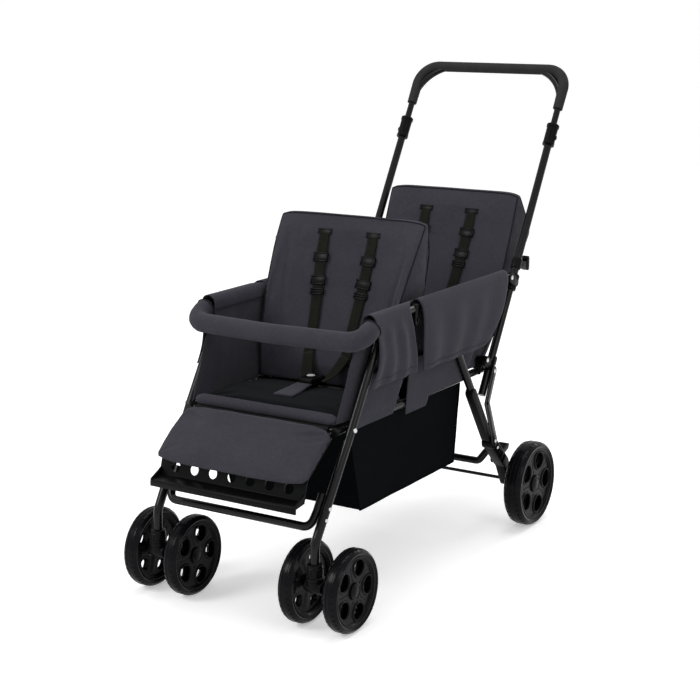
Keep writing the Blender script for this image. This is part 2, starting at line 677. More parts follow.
caster = {"top": 0.146, "bottom": 0.112, "radius": 0.0165, "collar": 0.0185, "neck": 0.0135, "eye": 0.016,
          "half": 0.020, "spread": 0.0515, "axle": 0.004}
for side, sign in sides.items():
    x = sign * links["casterX"]
    stem = at(x, links["stemY"], 0)
    bore = tubes["leg"] / 2 + 0.0001
    profile = [(0.0064, caster["bottom"]), (caster["collar"], caster["bottom"]),
               (caster["collar"], caster["bottom"] + 0.0065),
               (caster["radius"] - 0.0008, caster["bottom"] + 0.008),
               (caster["radius"] - 0.0008, caster["bottom"] + 0.0115),
               (caster["radius"], caster["bottom"] + 0.0125), (caster["radius"], caster["top"] - 0.008),
               (caster["radius"] - 0.0012, caster["top"] - 0.0065),
               (caster["radius"] - 0.0012, caster["top"] - 0.001), (bore + 0.002, caster["top"]),
               (bore, caster["top"]), (bore, caster["bottom"] + 0.02), (0.0064, caster["bottom"] + 0.02)]
    socket = moved(turned(profile, 48, 0.0007, closed=True), Matrix.Translation(stem))
    for k in range(3):      # flutes for the fingers that turn the swivel lock
        turn = Matrix.Translation(stem) @ Matrix.Rotation(radians(-90 + 38 * (k - 1)), 4, "Z")
        rib = bmesh.new()
        bmesh.ops.create_cube(rib, size=1, matrix=turn @ Matrix.Translation((caster["radius"], 0, 0.1305))
                              @ Matrix.Diagonal((0.0022, 0.0022, 0.013, 1)))
        socket = gather(socket, easeRims(rib, 0.0007))
    newPiece("casterSocket." + side, socket, nylon, "front_frame",
             ("caster_socket_" + side,))

    neckZ = caster["bottom"] - 0.0003 - caster["neck"]
    half = caster["half"]
    flange = moved(turned([(0, neckZ + 0.004), (0.0175, neckZ + 0.004), (0.0175, caster["bottom"] - 0.0006),
                           (0, caster["bottom"] - 0.0006)], 40, 0.001), Matrix.Translation(stem))
    body = lug([(links["stemY"], neckZ, caster["neck"]), (0, links["frontAxleZ"], caster["eye"])], x - half,
               x + half, 0.003)
    spine = lug([(links["stemY"] + 0.006, neckZ + 0.002, 0.0125), (0, 0.0875, 0.0165)], x - half * 0.42,
                x + half * 0.42, 0.002)
    stemRod = moved(turned([(0, caster["bottom"] - 0.02), (0.006, caster["bottom"] - 0.02), (0.006, 0.1315),
                            (0, 0.1315)], 24),
                    Matrix.Translation(stem))
    bosses = [moved(turned([(0, 0), (0.0125, 0), (0.0105, 0.0125), (0, 0.0125)], 32, 0.0008),
                    along(Vector((s, 0, 0)), at(x + s * (half - 0.001), 0,
                                                links["frontAxleZ"]))) for s in (1, -1)]
    newPiece("casterFork." + side, gather(flange, body, spine, stemRod, *bosses), nylon, "caster_" + side,
             ("caster_fork_" + side,))
    reach = caster["spread"] + 0.017 - 0.004
    newPiece("casterAxle." + side, sweep([at(x + s * reach, 0, links["frontAxleZ"]) for s in (-1, 1)],
                                         caster["axle"], 20), zinc,
             "caster_" + side)


# Wheels

wheel = {"rim": 0.84, "hub": 0.21, "holes": 5, "holeMiddle": 0.555, "holeReach": 0.185, "holeHalf": 0.205,
         "sipes": 60, "frontWidth": 0.034, "rearWidth": 0.044, "bore": 0.004}


def makeTyre(radius, width):
    half = width / 2
    rim = wheel["rim"] * radius
    profile = [(rim - 0.003, half - 0.006), (rim + 0.0005, half - 0.003), (rim + 0.0035, half - 0.0005),
               (radius - 0.0075, half), (radius - 0.0022, half - 0.0045), (radius, half * 0.42),
               (radius, half * 0.30), (radius - 0.0009, half * 0.26), (radius - 0.0009, half * 0.20),
               (radius, half * 0.16)]
    profile = profile + [(r, -z) for r, z in profile[::-1]]
    bm = turned(profile, 2 * wheel["sipes"], 0.0, closed=True)
    shoulder = [face for face in bm.faces
                if radius - 0.0035 < face.calc_center_median().xy.length < radius - 0.0004
                and half * 0.5 < abs(face.calc_center_median().z) < half * 0.85]
    cuts = []
    for face in shoulder:
        middle = face.calc_center_median()
        turn = Vector((1, 0)).angle_signed(middle.xy) / pi * wheel["sipes"]
        if int(turn // 1) % 3 == (0 if middle.z > 0 else 1):
            cuts.append(face)
    bmesh.ops.inset_individual(bm, faces=cuts, thickness=0.0004, depth=-0.0010)
    return bm


def holeEdge(radius, turn):
    # egg-shaped opening, wider towards the tyre
    reach = wheel["holeReach"] * radius
    half = wheel["holeHalf"] * radius
    p = Vector((cos(turn) * reach, sin(turn) * half * (1 + 0.14 * cos(turn))))
    return p + Vector((wheel["holeMiddle"] * radius, 0))


def sectorEdge(radius, turn):
    # out from the opening's middle to the edge of its fifth of the rim
    middle = Vector((wheel["holeMiddle"] * radius, 0))
    line = Vector((cos(turn), sin(turn)))
    low, high = 0.0, radius
    for i in range(40):
        reach = (low + high) / 2
        p = middle + line * reach
        inside = 0.15 * radius < p.length < (wheel["rim"] + 0.01) * radius and \
            abs(p.y) < p.x * tan(pi / wheel["holes"]) and p.x > 0
        low, high = (reach, high) if inside else (low, reach)
    return middle + line * low


def makeRim(radius, width):
    # one fifth round an opening, with a raised lip and a slit beside it, then spun and given its thickness
    bm = bmesh.new()
    middle = Vector((wheel["holeMiddle"] * radius, 0))
    bmesh.ops.create_circle(bm, cap_ends=False, segments=60, radius=1)
    for vert in bm.verts:
        turn = Vector((1, 0)).angle_signed(vert.co.xy) * -1
        vert.co = (*holeEdge(radius, turn), 0)
    edges = bm.edges[:]
    lift = 0.0026 * radius / links["frontAxleZ"]
    for share, out, z in ((0, 0.0006, 0.6), (0, 0.0016, 1.0), (0, 0.0030, 1.0), (0, 0.0042, 0.45),
                          (0, 0.0050, 0.0), (0.55, 0, 0.0), (0.90, 0, 0.0), (0.93, 0, -0.55),
                          (1.0, 0, -0.6)):
        fresh, edges = pulledOut(bm, edges)
        for vert in fresh:
            line = vert.co.xy - middle
            turn = Vector((1, 0)).angle_signed(line) * -1
            rim = sectorEdge(radius, turn)
            lip = holeEdge(radius, turn)
            lip = lip + (lip - middle).normalized() * (out if not share else 0.0050)
            spot = lip.lerp(rim, share)
            outward = spot.length / radius
            slit = smoothStep(0.26, 0.30, outward) * (1 - smoothStep(0.60, 0.66, outward))
            onSpoke = smoothStep(0.80, 0.98, abs(spot.y) / max(1e-6, spot.x * tan(pi / wheel["holes"])))
            height = z if z >= 0 else z * slit * onSpoke
            vert.co = (spot.x, spot.y, height * lift)
    bmesh.ops.spin(bm, geom=bm.verts[:] + bm.edges[:] + bm.faces[:], cent=(0, 0, 0), axis=(0, 0, 1),
                   dvec=(0, 0, 0), angle=2 * pi * (wheel["holes"] - 1) / wheel["holes"],
                   steps=wheel["holes"] - 1, use_merge=False, use_normal_flip=False, use_duplicate=True)
    bmesh.ops.remove_doubles(bm, verts=bm.verts[:], dist=2e-5)
    bmesh.ops.recalc_face_normals(bm, faces=bm.faces[:])
    if sum(face.normal.z * face.calc_area() for face in bm.faces) < 0:
        bmesh.ops.reverse_faces(bm, faces=bm.faces[:])
    thick = width * 0.46
    bmesh.ops.solidify(bm, geom=bm.faces[:], thickness=thick)
    heights = [vert.co.z for vert in bm.verts]
    top = width / 2 - 0.0065
    return moved(bm, Matrix.Translation((0, 0, top - max(heights) + lift * 0.4)))


def makeHub(radius, width, axle):
    half = width / 2
    hub = wheel["hub"] * radius
    cap = [(0, half - 0.0030), (hub * 0.62, half - 0.0033), (hub * 0.70, half - 0.0046),
           (hub * 0.76, half - 0.0046), (hub * 0.82, half - 0.0036), (hub * 0.97, half - 0.0046),
           (hub * 1.02, half - 0.009), (hub * 1.05, -half * 0.2), (hub * 0.86, -half + 0.004),
           (hub * 0.80, -half + 0.0004), (axle + 0.0003, -half + 0.0004), (axle + 0.0003, half - 0.006),
           (0, half - 0.006)]
    rim = wheel["rim"] * radius
    ring = [(rim + 0.001, half - 0.0062), (rim - 0.0005, half - 0.0022), (rim - 0.0035, half - 0.0024),
            (rim - 0.0060, half - 0.0060), (rim - 0.0085, half - 0.0075), (rim - 0.0085, -half + 0.0075),
            (rim - 0.0060, -half + 0.0060), (rim - 0.0035, -half + 0.0024), (rim - 0.0005, -half + 0.0022),
            (rim + 0.001, -half + 0.0062)]
    return gather(turned(cap, 48), turned(ring, 96, 0.0005, closed=True))


def addWheel(node, name, x, y, z, radius, width, axle, face, body):
    place = Matrix.Translation(at(x, y, z)) @ Matrix.Rotation(radians(90) * face, 4, "Y") \
        @ Matrix.Rotation(radians(17), 4, "Z")
    tyre = moved(makeTyre(radius, width), place)
    newPiece(name + "Tyre", tyre, tyreRubber, body, (node,))
    rim = moved(gather(makeRim(radius, width), makeHub(radius, width, axle)), place)
    newPiece(name + "Rim", rim, rimPlastic, body, (node,), sharp=48)


for side, sign in sides.items():
    for place, step in (("outer", 1), ("inner", -1)):
        node = "front_wheel_" + side + "_" + place
        x = sign * (links["casterX"] + step * caster["spread"])
        addWheel(node, "frontWheel." + side + "." + place + ".", x, 0, links["frontAxleZ"],
                 links["frontAxleZ"], wheel["frontWidth"], wheel["bore"], sign * step, node + "_body")
    addWheel("rear_wheel_" + side, "rearWheel." + side + ".", sign * links["rearWheelX"],
             *links["rearAxle"], links["rearAxle"][1], wheel["rearWidth"], wheel["bore"], sign,
             "rear_wheel_" + side + "_body")
print("wheels done")


# Legrest plate

legrest = {"hinge": (0.056, 0.386), "slope": 36.5, "reach": 0.127, "heel": (-0.058, 0.270), "shelf": 0.0305,
           "lip": 0.0125, "half": 0.1765, "neckHalf": 0.163, "thick": 0.004, "holes": 7, "pitch": 0.046,
           "hole": 0.011}
slope = radians(legrest["slope"])
restDown = Vector((0, -cos(slope), -sin(slope)))
restUp = Vector((0, -sin(slope), cos(slope)))
restHinge = at(0, *legrest["hinge"])


def bentSheet(points, half, x0, x1, radius, ease):
    # strip of sheet bent round the x axis, its rims eased
    path = bendPath(points, radius, 5)
    bm = bmesh.new()
    top = []
    bottom = []
    for i, p in enumerate(path):
        line = (path[min(i + 1, len(path) - 1)] - path[max(0, i - 1)]).normalized()
        away = Vector((1, 0, 0)).cross(line)
        top.append(bm.verts.new(p + away * half + Vector((x0, 0, 0))))
        bottom.append(bm.verts.new(p - away * half + Vector((x0, 0, 0))))
    rim = bm.faces.new(top + bottom[::-1])
    made = bmesh.ops.extrude_face_region(bm, geom=[rim])["geom"]
    bmesh.ops.translate(bm, vec=(x1 - x0, 0, 0), verts=madeOf(bmesh.types.BMVert, made))
    bmesh.ops.recalc_face_normals(bm, faces=bm.faces[:])
    return easeRims(bm, ease, 2, 60)


def drilled(piece, tool):
    cut = piece.modifiers.new("holes", "BOOLEAN")
    cut.operation = "DIFFERENCE"
    cut.object = tool
    cut.solver = "EXACT"
    applied(piece)
    bpy.data.objects.remove(tool)
    return piece


heel = at(0, *legrest["heel"])
knee = restHinge + restDown * legrest["reach"]
shelf = heel - Vector((0, legrest["shelf"], 0.004))
lip = shelf - Vector((0, 0, legrest["lip"]))
barrel = 0.0098
start = restHinge + restDown * (0.008 + barrel)
sheet = bentSheet([start, knee, heel, shelf, lip], legrest["thick"] / 2, -legrest["half"], legrest["half"],
                  0.004, 0.0007)
plate = newPiece("legrestPlate", sheet, nylon, "legrest", ("legrest_plate",))
drills = bmesh.new()
strip = (heel - knee).normalized()
through = Vector((1, 0, 0)).cross(strip)
for k in range(legrest["holes"]):
    x = legrest["pitch"] * (k - (legrest["holes"] - 1) / 2)
    bmesh.ops.create_cone(drills, cap_ends=True, segments=40, radius1=legrest["hole"],
                          radius2=legrest["hole"], depth=0.03,
                          matrix=along(through, (knee + heel) / 2 + Vector((x, 0, 0))))
drilled(plate, newPiece("drills", drills, nylon, None))
plate.data.set_sharp_from_angle(angle=radians(38))
neck = bentSheet([restHinge + restDown * barrel * 0.9, start + restDown * 0.02], 0.0018,
                 -legrest["neckHalf"], legrest["neckHalf"], 0.004, 0.0005)
tube = moved(turned([(0.0064, -legrest["neckHalf"]), (barrel, -legrest["neckHalf"]),
                     (barrel, legrest["neckHalf"]), (0.0064, legrest["neckHalf"])], 32, 0.0006, True),
             along(Vector((1, 0, 0)), restHinge))
cheeks = []
for sign in sides.values():
    corners = [heel + Vector((0, 0.002, 0.016)), heel + Vector((0, -0.004, 0.012)),
               shelf + Vector((0, -0.001, 0.003)), shelf - Vector((0, 0, 0.003)),
               heel + Vector((0, 0.001, -0.003))]
    bm = bmesh.new()
    aside = Vector((sign * (legrest["half"] - 0.004), 0, 0))
    face = bm.faces.new([bm.verts.new(p + aside) for p in corners])
    made = bmesh.ops.extrude_face_region(bm, geom=[face])["geom"]
    bmesh.ops.translate(bm, vec=(sign * 0.0042, 0, 0), verts=madeOf(bmesh.types.BMVert, made))
    bmesh.ops.recalc_face_normals(bm, faces=bm.faces[:])
    cheeks.append(easeRims(bm, 0.0008))
newPiece("legrestHinge", gather(neck, tube, *cheeks), nylon, "legrest")
footRivets = [rivet(shelf + Vector((x, 0.012, 0.0022)), (0, 0, 1), 0.003) for x in (-0.12, 0.0, 0.12)]
newPiece("legrestRivets", gather(*footRivets), acetal, "legrest")

# rivets of the front frame
frontRivets = []
for side, sign in sides.items():
    out = Vector((sign, 0, 0))
    frontRivets.append(rivet(onLeg(sign * (frameX + tubes["leg"] / 2), links["seatZ"]), out, 0.005, 0.003))
    for z in (0.247, 0.227):
        frontRivets.append(rivet(onLeg(sign * (frameX - legSlope * (links["seatZ"] - z) + tubes["leg"] / 2),
                                       z), out, 0.0042))
newPiece("frontRivets", gather(*frontRivets), zinc, "front_frame")
print("legrest done")


# Soft goods: shared steps

def eased(corners, radius, steps=4):
    # closed outline with every corner rounded, always the same number of points
    ring = [Vector(p) for p in corners]
    outline = []
    for i, corner in enumerate(ring):
        back = ring[i - 1] - corner
        ahead = ring[(i + 1) % len(ring)] - corner
        start = corner + back.normalized() * min(radius, 0.45 * back.length)
        end = corner + ahead.normalized() * min(radius, 0.45 * ahead.length)
        for k in range(steps + 1):
            t = k / steps
            outline.append(start * (1 - t) ** 2 + corner * (2 * t * (1 - t)) + end * t ** 2)
    return outline


def wrapped(section, width, stations=40, around=96):
    # closed pad: the outline at each station across x, from a grid rolled up and capped
    bm = bmesh.new()
    bmesh.ops.create_grid(bm, x_segments=stations, y_segments=around, size=0.5)
    rings = {}
    for vert in bm.verts:
        t = round(sin(vert.co.x * pi), 5)          # closer together at the sides
        if t not in rings:
            rings[t] = section(t)
        ring = rings[t]
        spot = (vert.co.y + 0.5) * len(ring)
        i = int(spot + 1e-6)
        p = ring[i % len(ring)].lerp(ring[(i + 1) % len(ring)], max(0.0, spot - i))
        vert.co = at(t * width(p.y), p.x, p.y)
    bmesh.ops.remove_doubles(bm, verts=bm.verts[:], dist=1e-5)
    bmesh.ops.holes_fill(bm, edges=[edge for edge in bm.edges if edge.is_boundary], sides=0)
    bmesh.ops.recalc_face_normals(bm, faces=bm.faces[:])
    return bm


def puffUp(pad, seams, cap, resting=None, voxel=0.005, reach=0.005, pressure=4.0):
    # blown up between its seams by the cloth solver, which holds the seams and what it rests on
    remesh = pad.modifiers.new("even", "REMESH")
    remesh.mode = "VOXEL"
    remesh.voxel_size = voxel
    applied(pad)
    tree = kdtree.KDTree(len(seams))
    for i, p in enumerate(seams):
        tree.insert(p, i)
    tree.balance()
    held = pad.vertex_groups.new(name="held")
    rest = [vert.co.copy() for vert in pad.data.vertices]
    for i, p in enumerate(rest):
        if tree.find(p)[2] < reach or (resting and resting(p)):
            held.add([i], 1.0, "REPLACE")
    cloth = pad.modifiers.new("cloth", "CLOTH")
    cloth.settings.quality = 4
    cloth.settings.use_pressure = True
    cloth.settings.uniform_pressure_force = pressure
    cloth.settings.vertex_group_mass = "held"
    cloth.settings.effector_weights.gravity = 0.0
    cloth.point_cache.frame_start = 1
    cloth.point_cache.frame_end = 20
    for step in range(1, 21):
        scene.frame_set(step)
    applied(pad)
    scene.frame_set(1)
    for vert, p in zip(pad.data.vertices, rest):
        shift = vert.co - p
        if shift.length > cap:
            vert.co = p + shift * (cap / shift.length)
    pad.vertex_groups.clear()
    smooth = pad.modifiers.new("round", "SUBSURF")
    smooth.levels = smooth.render_levels = 1
    pad.data.shade_smooth()
    return pad


def rumple(piece, amount, size, direction=None, seed=0.0, mask=None):
    # small soft creases: vertex moves from seeded noise
    for vert in piece.data.vertices:
        p = vert.co
        push = noise.noise(p / size + Vector((seed, seed * 1.7, 0))) + 0.5 * noise.noise(p * (2.3 / size))
        push *= amount * (mask(p) if mask else 1.0)
        vert.co = p + (direction or vert.normal) * push


def piping(name, path, radius, body, material=None):
    cord = newPiece(name, sweep(path, radius, 10), material or pipingCloth, body)
    return layCloth(cord, seamUv)


def faceTree(pad):
    graph = bpy.context.evaluated_depsgraph_get()
    return BVHTree.FromObject(pad, graph)


def onSkin(pad, path):
    # the path drawn onto the finished pad, so that its piping lies on the cloth
    tree = faceTree(pad)
    spots = []
    for p in path:
        spot, normal = tree.find_nearest(p)[:2]
        spots.append(spot + normal * 0.0004)
    for turn in range(3):
        middle = [(a + b * 2 + c) / 4 for a, b, c in zip(spots, spots[1:], spots[2:])]
        spots = spots[:1] + middle + spots[-1:]
    return spots


def stitchRow(path, normals, spacing=0.0058, length=0.0036, radius=0.00042):
    # a running stitch: short threads laid along the path
    bm = bmesh.new()
    gone = 0.0
    for (a, na), (b, nb) in zip(zip(path, normals), zip(path[1:], normals[1:])):
        span = (b - a).length
        while gone < span:
            k = gone / span
            place = along((b - a).normalized(), a.lerp(b, k) + na.lerp(nb, k) * radius * 0.6)
            bmesh.ops.create_cone(bm, cap_ends=True, segments=6, radius1=radius, radius2=radius,
                                  depth=length, matrix=place)
            gone += spacing
        gone -= span
    return bm


# Backrests

backs = {
    "front": {"profile": ((0.287, 0.4051, 0.004), (0.325, 0.500, 0.040), (0.359, 0.590, 0.054),
                          (0.391, 0.690, 0.034), (0.405, 0.7585, 0.006), (0.417, 0.7590, 0),
                          (0.425, 0.700, 0), (0.425, 0.600, 0), (0.368, 0.490, 0), (0.316, 0.4051, 0)),
              "narrow": 0.1690, "wide": 0.1815, "top": 0.7615, "cap": 0.007},
    "rear": {"profile": ((0.679, 0.4051, 0.001), (0.725, 0.430, 0.010), (0.769, 0.530, 0.012),
                         (0.835, 0.680, 0.010), (0.864, 0.7685, 0.004), (0.878, 0.7690, 0),
                         (0.918, 0.708, 0), (0.938, 0.672, 0), (0.888, 0.620, 0), (0.788, 0.490, 0),
                         (0.714, 0.4051, 0)),
             "narrow": 0.1705, "wide": 0.1705, "top": 0.7715, "cap": 0.007}}
backFoot = 0.4051


def backSection(style, t):
    corners = []
    for y, z, wing in style["profile"]:
        lift = (z - 0.3998) / (style["top"] - 0.3998)
        edge = abs(t) ** 14
        tuck = 0.004 * edge if wing else -0.003 * edge
        corners.append((y - wing * abs(t) ** 3 + tuck, z - 0.007 * abs(t) ** 11 * lift))
    return eased(corners, 0.012)


def backWidth(style, z):
    return style["narrow"] + (style["wide"] - style["narrow"]) * smoothStep(0.638, 0.688, z)


def seamLine(style, corners, top):
    # up one side, over the top and down the other
    lines = {}
    for t in (-1, 1):
        ring = backSection(style, t)
        lines[t] = [ring[5 * corners[0] + 2 + k] for k in range(5 * (corners[1] - corners[0]) + 1)]
        if corners[1] != top:
            lines[t] = lines[t][::-1]
        lines[t] = [at(t * backWidth(style, p.y), p.x, p.y) for p in lines[t]]
    over = []
    for k in range(1, 40):
        t = -sin((0.5 - k / 40) * pi)
        p = backSection(style, t)[5 * top + 2]
        over.append(at(t * backWidth(style, p.y), p.x, p.y))
    return lines[-1] + over + lines[1][::-1]


backPads = {}
for place, style in backs.items():
    count = len(style["profile"])
    frontSeam = seamLine(style, (0, 4), 4)
    backSeam = seamLine(style, (5, count - 1), 5)
    form = wrapped(lambda t: backSection(style, t), lambda z: backWidth(style, z))
    pad = newPiece(place + "Backrest", form, seatCloth, None)
    puffUp(pad, frontSeam + backSeam, style["cap"], lambda p: p.z < backFoot + 0.004)
    rumple(pad, 0.0009, 0.05, seed=3.1 if place == "front" else 8.4,
           mask=lambda p: smoothStep(0.41, 0.45, p.z))
    layCloth(pad, lambda p: (p.x, p.z + 0.6 * p.y))
    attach(pad, place + "_back")
    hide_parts(place + "_backrest")
    piping(place + "BackPiping", onSkin(pad, frontSeam), 0.0017, place + "_back")
    piping(place + "BackRearPiping", onSkin(pad, backSeam), 0.0015, place + "_back")
    backPads[place] = pad
    print(place, "backrest done")


# Seat pads

seats = {"front": (0.070, 0.2715), "rear": (0.455, 0.672), "half": 0.1755, "base": 0.3947, "thick": 0.014,
         "crown": 0.005, "cap": 0.005}
seatPads = {}
for place in ("front", "rear"):
    front, rear = seats[place]

    def seatSection(t):
        fall = (1 - abs(t) ** 6) ** 0.5
        low = seats["base"]
        high = low + seats["thick"] * (0.55 + 0.45 * fall)
        pull = 0.006 * (1 - fall)
        return eased(((front + pull + 0.004, low), (rear - pull - 0.003, low), (rear - pull, low + 0.010),
                      (rear - pull - 0.010, high), ((front + rear) / 2, high + seats["crown"] * fall),
                      (front + pull + 0.016, high), (front + pull, low + 0.008)), 0.006)

    pad = newPiece(place + "SeatPad", wrapped(seatSection, lambda z: seats["half"]), innerCloth, None)
    puffUp(pad, [at(0, front, 0)], seats["cap"], lambda p: p.z < seats["base"] + 0.003)
    layCloth(pad, lambda p: (p.x, p.y))
    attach(pad, "seat_frame")
    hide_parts(place + "_seat_pad")
    seatPads[place] = pad
roll = {"half": 0.172, "y": 0.066, "z": 0.4025, "radius": 0.0125}
rollPath = [at(roll["half"] * (k / 30 - 1), roll["y"], roll["z"]) for k in range(61)]
rollSizes = [0.45, 0.75, 0.92] + [1.0] * 55 + [0.92, 0.75, 0.45]
rollPiece = newPiece("frontSeatRoll", sweep(rollPath, roll["radius"], 32, rollSizes), seatCloth,
                     "seat_frame", ("front_seat_pad",))
rumple(rollPiece, 0.0007, 0.04, seed=7.7)
layCloth(rollPiece, lambda p: (p.x, p.y + p.z))
print("seat pads done")


# Calf pad

calf = {"half": 0.1805, "length": 0.1550, "thick": 0.0215, "base": 0.0025, "cap": 0.006}


def calfSection(t):
    fall = (1 - abs(t) ** 5) ** 0.5
    lift = calf["thick"] * (0.42 + 0.58 * fall)
    low = calf["base"] + calf["thick"] * 0.12 * (1 - fall)
    pull = 0.016 * (1 - fall)
    far = calf["length"] - pull
    return eased(((pull + 0.012, low), (far - 0.010, low), (far, low + lift * 0.5),
                  (far - 0.014, low + lift), (calf["length"] / 2, low + lift + 0.002),
                  (pull + 0.012, low + lift - 0.001), (pull - 0.001, low + lift * 0.55)), 0.008)


flatForm = wrapped(calfSection, lambda z: calf["half"])
for vert in flatForm.verts:
    down, up = vert.co.y - axleY, vert.co.z
    vert.co = restHinge + restDown * down + restUp * up + Vector((vert.co.x, 0, 0))
calfPad = newPiece("calfPad", flatForm, seatCloth, None)
calfRim = []
for k in range(0, 101):
    t = -sin((0.5 - k / 100) * pi)
    p = calfSection(t)[12]
    calfRim.append(restHinge + restDown * p.x + restUp * p.y + Vector((t * calf["half"], 0, 0)))
puffUp(calfPad, calfRim, calf["cap"], lambda p: (p - restHinge).dot(restUp) < calf["base"] + 0.0035)
rumple(calfPad, 0.0008, 0.06, seed=5.2)
layCloth(calfPad, lambda p: (p.x, (p - restHinge).dot(restDown)))
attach(calfPad, "legrest")
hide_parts("calf_pad")
print("calf pad done")


# Bumper cover

bumper = {"radius": 0.0205, "end": 0.150, "cap": 0.005}
bumperPath = [p for p in armPath if p.y - axleY < bumper["end"]]
firstEnd = at(frameX + 0.005, bumper["end"] + 0.001, 0)
firstEnd.z = bumperPath[0].z + (firstEnd.y - bumperPath[0].y) * 0.45
bumperPath = [firstEnd] + bumperPath + [Vector((-firstEnd.x, firstEnd.y, firstEnd.z))]
dense = [bumperPath[0]]
for a, b in zip(bumperPath, bumperPath[1:]):
    pieces = max(1, round((b - a).length / 0.012))
    dense += [a.lerp(b, (k + 1) / pieces) for k in range(pieces)]
bumperSizes = [0.93, 0.98] + [1.0] * (len(dense) - 4) + [0.98, 0.93]
cover = newPiece("bumperCover", sweep(dense, bumper["radius"], 36, bumperSizes), seatCloth, None)
ends = [dense[0], dense[-1]]
puffUp(cover, [Vector((99, 0, 0))], bumper["cap"],
       lambda p: min((p - e).length for e in ends) < bumper["radius"] * 1.02)
rumple(cover, 0.0011, 0.035, seed=1.3, mask=lambda p: 0.35 + 0.65 * smoothStep(0.12, 0.2, abs(p.x)))
layCloth(cover, lambda p: (p.x, p.z + p.y))
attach(cover, "armrest")
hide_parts("bumper_pad")
for side, end, nextSpot in (("left", dense[0], dense[2]), ("right", dense[-1], dense[-3])):
    place = along((nextSpot - end).normalized(), end.lerp(nextSpot, 0.3))
    turns = [2 * pi * k / 48 for k in range(49)]
    ring = [place @ (Vector((cos(turn), sin(turn), 0)) * bumper["radius"]) for turn in turns]
    piping("bumperPiping." + side, ring, 0.0014, "armrest")
print("bumper done")


# Side panels, from rows of (x, z, front y, rear y) going up inside, over the armrest and down outside

panels = {
    "front": {"rows": ((0.1800, 0.3985, 0.056, 0.286), (0.1806, 0.430, 0.071, 0.312),
                       (0.1812, 0.470, 0.090, 0.338), (0.1818, 0.520, 0.110, 0.366),
                       (0.1815, 0.560, 0.140, 0.380), (0.1822, 0.588, 0.1470, 0.372),
                       (0.1872, 0.6010, 0.1460, 0.345), (0.1990, 0.6055, 0.1460, 0.310),
                       (0.2095, 0.6010, 0.1460, 0.288), (0.2150, 0.589, 0.1465, 0.282),
                       (0.2165, 0.568, 0.1480, 0.286), (0.2165, 0.548, 0.1505, 0.292),
                       (0.2160, 0.520, 0.1520, 0.300), (0.2152, 0.490, 0.144, 0.306),
                       (0.2140, 0.4595, 0.127, 0.308)),
              "wave": 0.0034, "folds": 3.0, "seed": 2.0, "split": 5 / 14, "crest": 0.6055,
              "flat": (0.258, 0.198), "area": 0.0480, "flapFlat": (0.235, 0.197), "flapArea": 0.0321},
    "rear": {"rows": ((0.1812, 0.3985, 0.330, 0.640), (0.1815, 0.440, 0.334, 0.664),
                      (0.1822, 0.500, 0.338, 0.695), (0.1825, 0.560, 0.342, 0.722),
                      (0.1840, 0.588, 0.345, 0.733), (0.1885, 0.6010, 0.340, 0.736),
                      (0.1990, 0.6070, 0.334, 0.737), (0.2090, 0.6020, 0.332, 0.735),
                      (0.2145, 0.588, 0.333, 0.730), (0.2165, 0.560, 0.336, 0.716),
                      (0.2165, 0.520, 0.338, 0.694), (0.2158, 0.485, 0.338, 0.662),
                      (0.2145, 0.4555, 0.338, 0.618)),
             "wave": 0.0034, "folds": 3.5, "seed": 6.5, "split": 4 / 12, "crest": 0.6070,
             "flat": (0.395, 0.197), "area": 0.0697, "flapFlat": (0.408, 0.199), "flapArea": 0.0728}}
panelLap = {"share": 0.035, "step": 0.0019, "cloth": 0.0018}


def panelPoint(style, sign, u, v):
    x, z, front, rear = spread(style["rows"], v)
    y = front + (rear - front) * u
    fold = sin(style["folds"] * 2 * pi * u + 1.4 * sin(5 * v) + style["seed"])
    ripple = noise.noise(Vector((u * 5 + style["seed"], v * 9, sign * 0.7)))
    loose = smoothStep(0.10, 0.30, abs(v - 0.52))
    push = style["wave"] * loose * (0.5 + 0.5 * fold + 0.6 * ripple)
    outwards = -1 if v < 0.5 else 1
    return at(sign * (x + outwards * push), y, z - 0.0025 * ripple * loose * v)


def clothSheet(name, surface, across, down, thickness, material, flat):
    bm = bmesh.new()
    bmesh.ops.create_grid(bm, x_segments=across, y_segments=down, size=0.5)
    layer = bm.loops.layers.uv.new("cloth")
    for face in bm.faces:
        for loop in face.loops:
            loop[layer].uv = ((loop.vert.co.x + 0.5) * flat[0], (loop.vert.co.y + 0.5) * flat[1])
    for vert in bm.verts:
        vert.co = surface(vert.co.x + 0.5, vert.co.y + 0.5)
    piece = newPiece(name, bm, material, None, sharp=180)
    wall = piece.modifiers.new("wall", "SOLIDIFY")
    wall.thickness = thickness
    wall.offset = 0.0
    wall.use_even_offset = False
    return piece


def flapPoint(style, sign, u, v):
    # the flap's inner hem laps over the layer below it
    p = panelPoint(style, sign, u, v)
    lap = 1 - smoothStep(style["split"], style["split"] + 0.08, v)
    return p - Vector((sign * panelLap["step"] * lap, 0, 0))


for side, sign in sides.items():
    for place, style in panels.items():
        top = style["split"] + panelLap["share"]
        panel = clothSheet(place + "SidePanel." + side, lambda u, v: panelPoint(style, sign, u, v * top),
                           56, 36, panelLap["cloth"], seatCloth, style["flat"])
        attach(panel, "seat_frame")
        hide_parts(place + "_side_panel_" + side)
        at(0, 0.3, style["rows"][0][1])
        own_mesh(panel)
        low = style["split"] - panelLap["share"]
        flap = clothSheet(place + "SideFlap." + side,
                          lambda u, v: flapPoint(style, sign, u, low + (1 - low) * v), 56, 52,
                          panelLap["cloth"], seatCloth, style["flapFlat"])
        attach(flap, "armrest")
        hem = [panelPoint(style, sign, k / 60, 0.965) + Vector((sign * 0.0012, 0, 0)) for k in range(2, 59)]
        seam = newPiece(place + "PanelStitch." + side, stitchRow(hem, [Vector((sign, 0, 0))] * len(hem)),
                        threadCloth, None)
        layCloth(seam, seamUv)
        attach(seam, "armrest")
        for piece in (flap, seam):
            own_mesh(piece)
print("side panels done")


